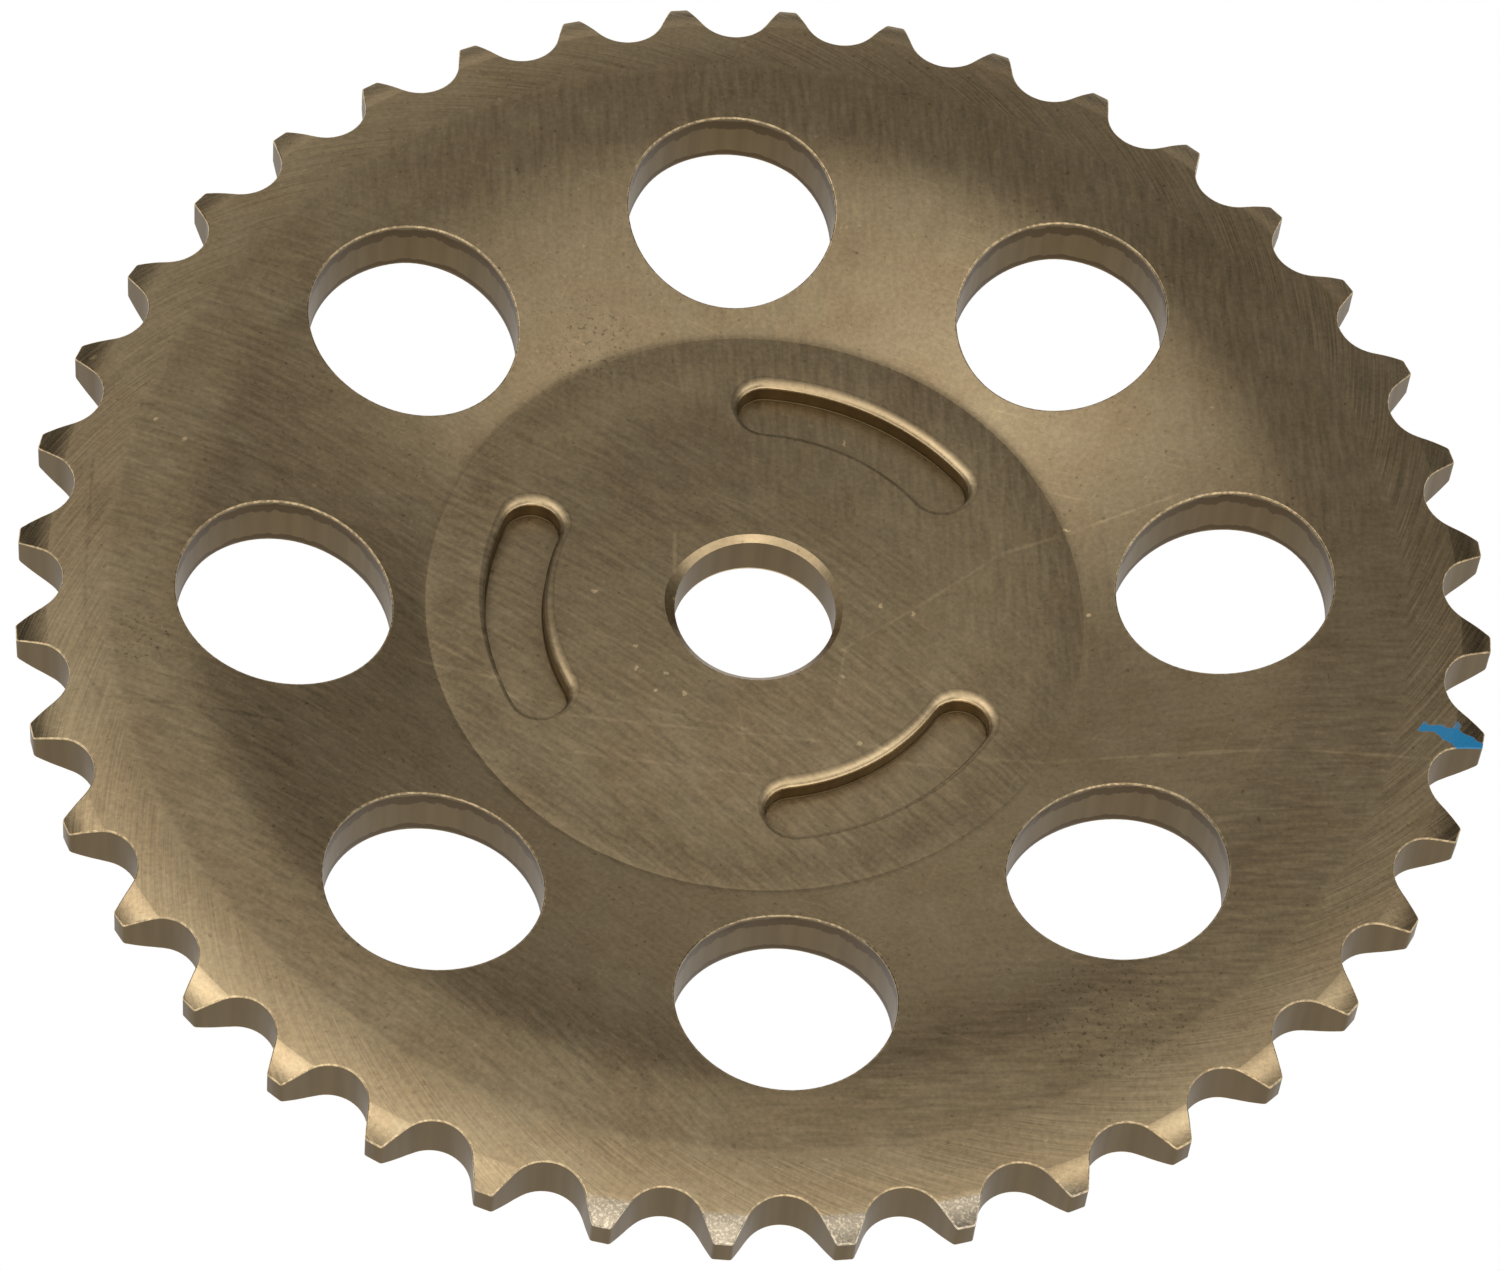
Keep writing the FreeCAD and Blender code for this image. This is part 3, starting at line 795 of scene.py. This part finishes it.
def metal():
    """Ground steel: a tone round 1 for the faces times a brown, with painted shade and highlights
    in the tone, darker walls, and paint.
    """
    mat = bpy.data.materials.new("steel_ground")
    mat.use_nodes = True
    n = Nodes(mat)
    place = n.vector("SCALE", n.put("ShaderNodeTexCoord", out=3))
    place.node.inputs[3].default_value = 1000
    x, y, z = n.separate(place)
    flat = n.combine(x, y)
    zone = n.put("ShaderNodeAttribute", out=2, attribute_name="zone")
    depth = n.put("ShaderNodeAttribute", out=2, attribute_name="depth")
    radius = n.length(flat)
    hole_or_bore = n.span(zone, FLOOR + 0.4, FLOOR + 0.6)
    is_wall = n.plus(n.math("COMPARE", zone, float(WALL), 0.4), hole_or_bore)

    grain, upper, band = grinding(n, place, x, y, radius)
    fine = n.noise(place, 2.4, 2.0, 0.7)
    mottle = n.noise(place, 0.17, 2.0, 0.6)
    contrast = n.mix(band, n.mix(upper, 0.45, 0.24), 0.62)
    tone = n.plus(n.plus(n.times(n.minus(grain, 0.5), contrast), n.centred(fine, 0.62)),
                  n.plus(1.0, n.centred(mottle, 0.42)))

    # A darker ring at the hub's border, painted shade in its crease; then each field's tone, which
    # is painted light and shade
    hub_crease_shade = n.times(n.span(radius, 22.8, 26.0), n.minus(1.0, n.span(radius, 27.5, 27.6)))
    tone = n.minus(tone, n.times(hub_crease_shade, 0.13))
    # Painted shade: the web 24% darker and the rim 10% darker; painted light: the outer band 8%
    # paler
    web_painted_shade = n.times(n.span(radius, 27.5, 27.65), n.fade(radius, 46.0, 50.0))
    tone = n.times(tone, n.minus(1.0, n.times(web_painted_shade, 0.24)))
    tone = n.times(tone, n.span(radius, 47.0, 50.0, 1.0, 0.90))
    tone = n.times(tone, n.span(radius, 53.3, 54.0, 1.0, 1.08))

    # Painted light: slow drifts of brightness across the rim, lighter towards the lower left, and
    # across the hub, lighter towards the bottom
    rim_light_drift = n.dot(place, (-0.0018, -0.0024, 0))
    rim_light_drift = n.times(n.minus(rim_light_drift, 0.05), n.span(radius, 45.0, 49.0))
    hub_light_drift = n.dot(place, (0.0056, -0.0126, 0))
    hub_light_drift = n.times(hub_light_drift, n.fade(radius, 16.0, 25.0))
    tone = n.times(tone, n.plus(1.0, n.plus(rim_light_drift, hub_light_drift)))
    # Brighter edges, partly wear and partly painted highlight, with painted shade on some slot and
    # bore edges
    tone = n.plus(tone, edge_wear_and_highlight(n, place, radius, zone))

    # Small dark and bright specks all over, and hairlines
    specks = n.noise(place, 1.7, 1.0)
    tone = n.minus(tone, n.span(specks, 0.70, 0.78, 0.0, 0.22))
    tone = n.plus(tone, n.span(specks, 0.27, 0.20, 0.0, 0.20))
    tone = n.plus(tone, hairlines(n, x, y))

    # Painted highlight: sparkle on the lowest tips
    tip_glint = n.times(n.span(radius, 59.0, 59.4), n.span(y, -56.0, -58.0))
    tone = n.plus(tone, n.times(tip_glint, n.span(n.noise(place, 4.5, 1.0), 0.5, 0.65, -0.05, 0.55)))
    tone = handling_marks(n, tone, flat, n.span(z, -4.0, -3.5))
    face_colour = n.tint(n.span(mottle, 0.35, 0.65),
                         (0.47, 0.345, 0.195, 1), (0.455, 0.345, 0.20, 1))
    # The painted highlight on the lowest tips also pales their colour
    face_colour = n.tint(n.times(tip_glint, 0.7), face_colour, (0.42, 0.37, 0.29, 1))

    # Streaked walls; the holes' have a burnished lip and a torn band with a ragged border
    streaks = n.noise(n.combine(x, y, n.times(z, 0.06)), 1.1, 2.0, 0.4)
    wall_colour = n.tint(n.span(streaks, 0.2, 0.8),
                         (0.125, 0.086, 0.040, 1), (0.152, 0.108, 0.052, 1))
    lip = n.noise(flat, 0.8, 3.0, 0.6)
    hole_wall = n.times(hole_or_bore, n.minus(1.0, n.span(zone, HOLE_WALL + 0.4, HOLE_WALL + 0.6)))
    torn = n.fade(n.minus(depth, n.plus(0.5, n.times(lip, 1.9))), -0.1, 0.1)
    wall_colour = n.tint(n.times(torn, hole_wall), wall_colour, (0.082, 0.052, 0.022, 1))
    burnish = n.fade(n.minus(depth, n.times(lip, 0.8)), -0.06, 0.06)
    wall_colour = n.tint(n.times(burnish, hole_wall), wall_colour, (0.15, 0.11, 0.06, 1))

    face_colour = n.vector("MULTIPLY", face_colour, n.combine(tone, tone, tone))
    colour = n.tint(is_wall, face_colour, wall_colour)
    paint = paint_mark(n, flat, x, y, z, zone)
    colour = n.tint(paint, colour, (0.02, 0.21, 0.42, 1))
    rough = n.plus(0.34, n.centred(grain, 0.18))
    rough = n.minus(rough, n.span(radius, RELIEF, RELIEF + 0.1, 0.0, 0.08))
    bump = n.put("ShaderNodeBump", {"Strength": 1.0, "Distance": 0.000005, "Height": fine})
    shader = mat.node_tree.nodes["Principled BSDF"]
    for name, socket in (("Base Color", colour), ("Metallic", n.minus(1.0, paint)),
                         ("Roughness", n.mix(is_wall, rough, 0.45)), ("Normal", bump)):
        mat.node_tree.links.new(socket, shader.inputs[name])
    return mat


# ---------------------------------------------------------------- stage

def add_world():
    """Soft studio light from far off: lamps, a low window in front and a dim surround."""
    world = bpy.data.worlds.new("studio")
    world.use_nodes = True
    n = Nodes(world)
    way = n.vector("NORMALIZE", n.put("ShaderNodeTexCoord", out=0))
    _, y, z = n.separate(way)
    light = n.times(n.span(z, 0.1, 0.55, 0.42, 0.03), n.span(y, 0.45, 0.8, 1.0, 0.45))
    window = n.times(n.span(z, 0.1, 0.3), n.fade(z, 0.5, 0.75))
    light = n.plus(light, n.times(window, n.span(y, 0.1, -0.35, 0.0, 1.25)))
    for lamp_way, power in LIGHTS:
        near = n.math("MAXIMUM", n.dot(way, Vector(lamp_way).normalized()), 0.0)
        light = n.plus(light, n.times(n.math("POWER", near, LIGHT_FOCUS), power))
    background = world.node_tree.nodes["Background"]
    world.node_tree.links.new(light, background.inputs["Strength"])
    background.inputs["Color"].default_value = (1, 1, 1, 1)
    bpy.context.scene.world = world


def add_stage():
    """A white floor that glows evenly and takes no shadow, just below the lugs."""
    mat = bpy.data.materials.new("stage_white")
    mat.use_nodes = True
    shader = mat.node_tree.nodes["Principled BSDF"]
    shader.inputs["Base Color"].default_value = (0, 0, 0, 1)
    shader.inputs["Roughness"].default_value = 1
    shader.inputs["Specular IOR Level"].default_value = 0
    shader.inputs["Emission Color"].default_value = (1, 1, 1, 1)
    shader.inputs["Emission Strength"].default_value = 1
    mat.cycles.emission_sampling = "NONE"
    mesh = bpy.data.meshes.new("floor")
    half, z = 1.5, 0.001 * (LUG_Z - 0.02)
    corners = [(-half, -half, z), (half, -half, z), (half, half, z), (-half, half, z)]
    mesh.from_pydata(corners, [], [(0, 1, 2, 3)])
    mesh.materials.append(mat)
    floor = bpy.data.objects.new("floor", mesh)
    bpy.context.collection.objects.link(floor)


def add_camera():
    """The photo's camera, in metres: its angles, the point it aims at and its distance."""
    az, el, roll = (math.radians(a) for a in (-9.14, 56.68, 7.04))
    aim, distance = Vector((-0.000748, -0.003618, 0)), 0.5462
    out = Vector((math.sin(az) * math.cos(el), -math.cos(az) * math.cos(el), math.sin(el)))
    right = (-out).cross(Vector((0, 0, 1))).normalized()
    up = right.cross(-out)
    x = math.cos(roll) * right + math.sin(roll) * up
    y = math.cos(roll) * up - math.sin(roll) * right
    camera = bpy.data.cameras.new("camera")
    camera.sensor_width = 36
    camera.lens = 157.8
    camera.clip_start = 0.01
    obj = bpy.data.objects.new("camera", camera)
    turn = Matrix((x, y, out)).transposed().to_4x4()
    obj.matrix_world = Matrix.Translation(aim + distance * out) @ turn
    bpy.context.collection.objects.link(obj)
    bpy.context.scene.camera = obj


sprocket = make_sprocket()
sprocket.data.materials.append(metal())
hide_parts("sprocket")
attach(sprocket, "root")

add_stage()
add_camera()
add_world()
bpy.context.scene.view_settings.view_transform = "Standard"
